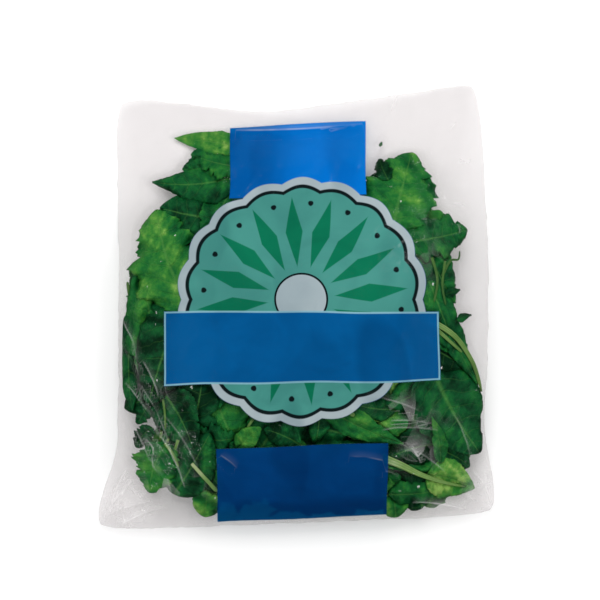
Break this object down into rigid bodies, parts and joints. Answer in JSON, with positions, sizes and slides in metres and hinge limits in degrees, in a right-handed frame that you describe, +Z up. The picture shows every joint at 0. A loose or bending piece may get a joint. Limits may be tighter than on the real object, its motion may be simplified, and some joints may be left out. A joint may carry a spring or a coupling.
{
  "type": "bag of spinach",
  "caption": "Sealed clear pillow bag of baby spinach leaves with printed blue panels on its front, lying on its back with the front up.",
  "frame": {"origin": "on the surface that the bag lies on, under the middle of its box", "axes": "+Z up out of the printed front, +Y towards the sealed top edge, +X to the right as the front is read"},
  "size_m": [0.2384, 0.2674, 0.0577],
  "materials": {
    "bag": "clear glossy film over green leaves",
    "film": "clear glossy film, a little hazy",
    "leaves": "satin green leaf with pale ribs and stalks",
    "print": "blue, teal and pale ink on film"
  },
  "bodies": {
    "root": {"bag": "bag"}
  },
  "joints": []
}
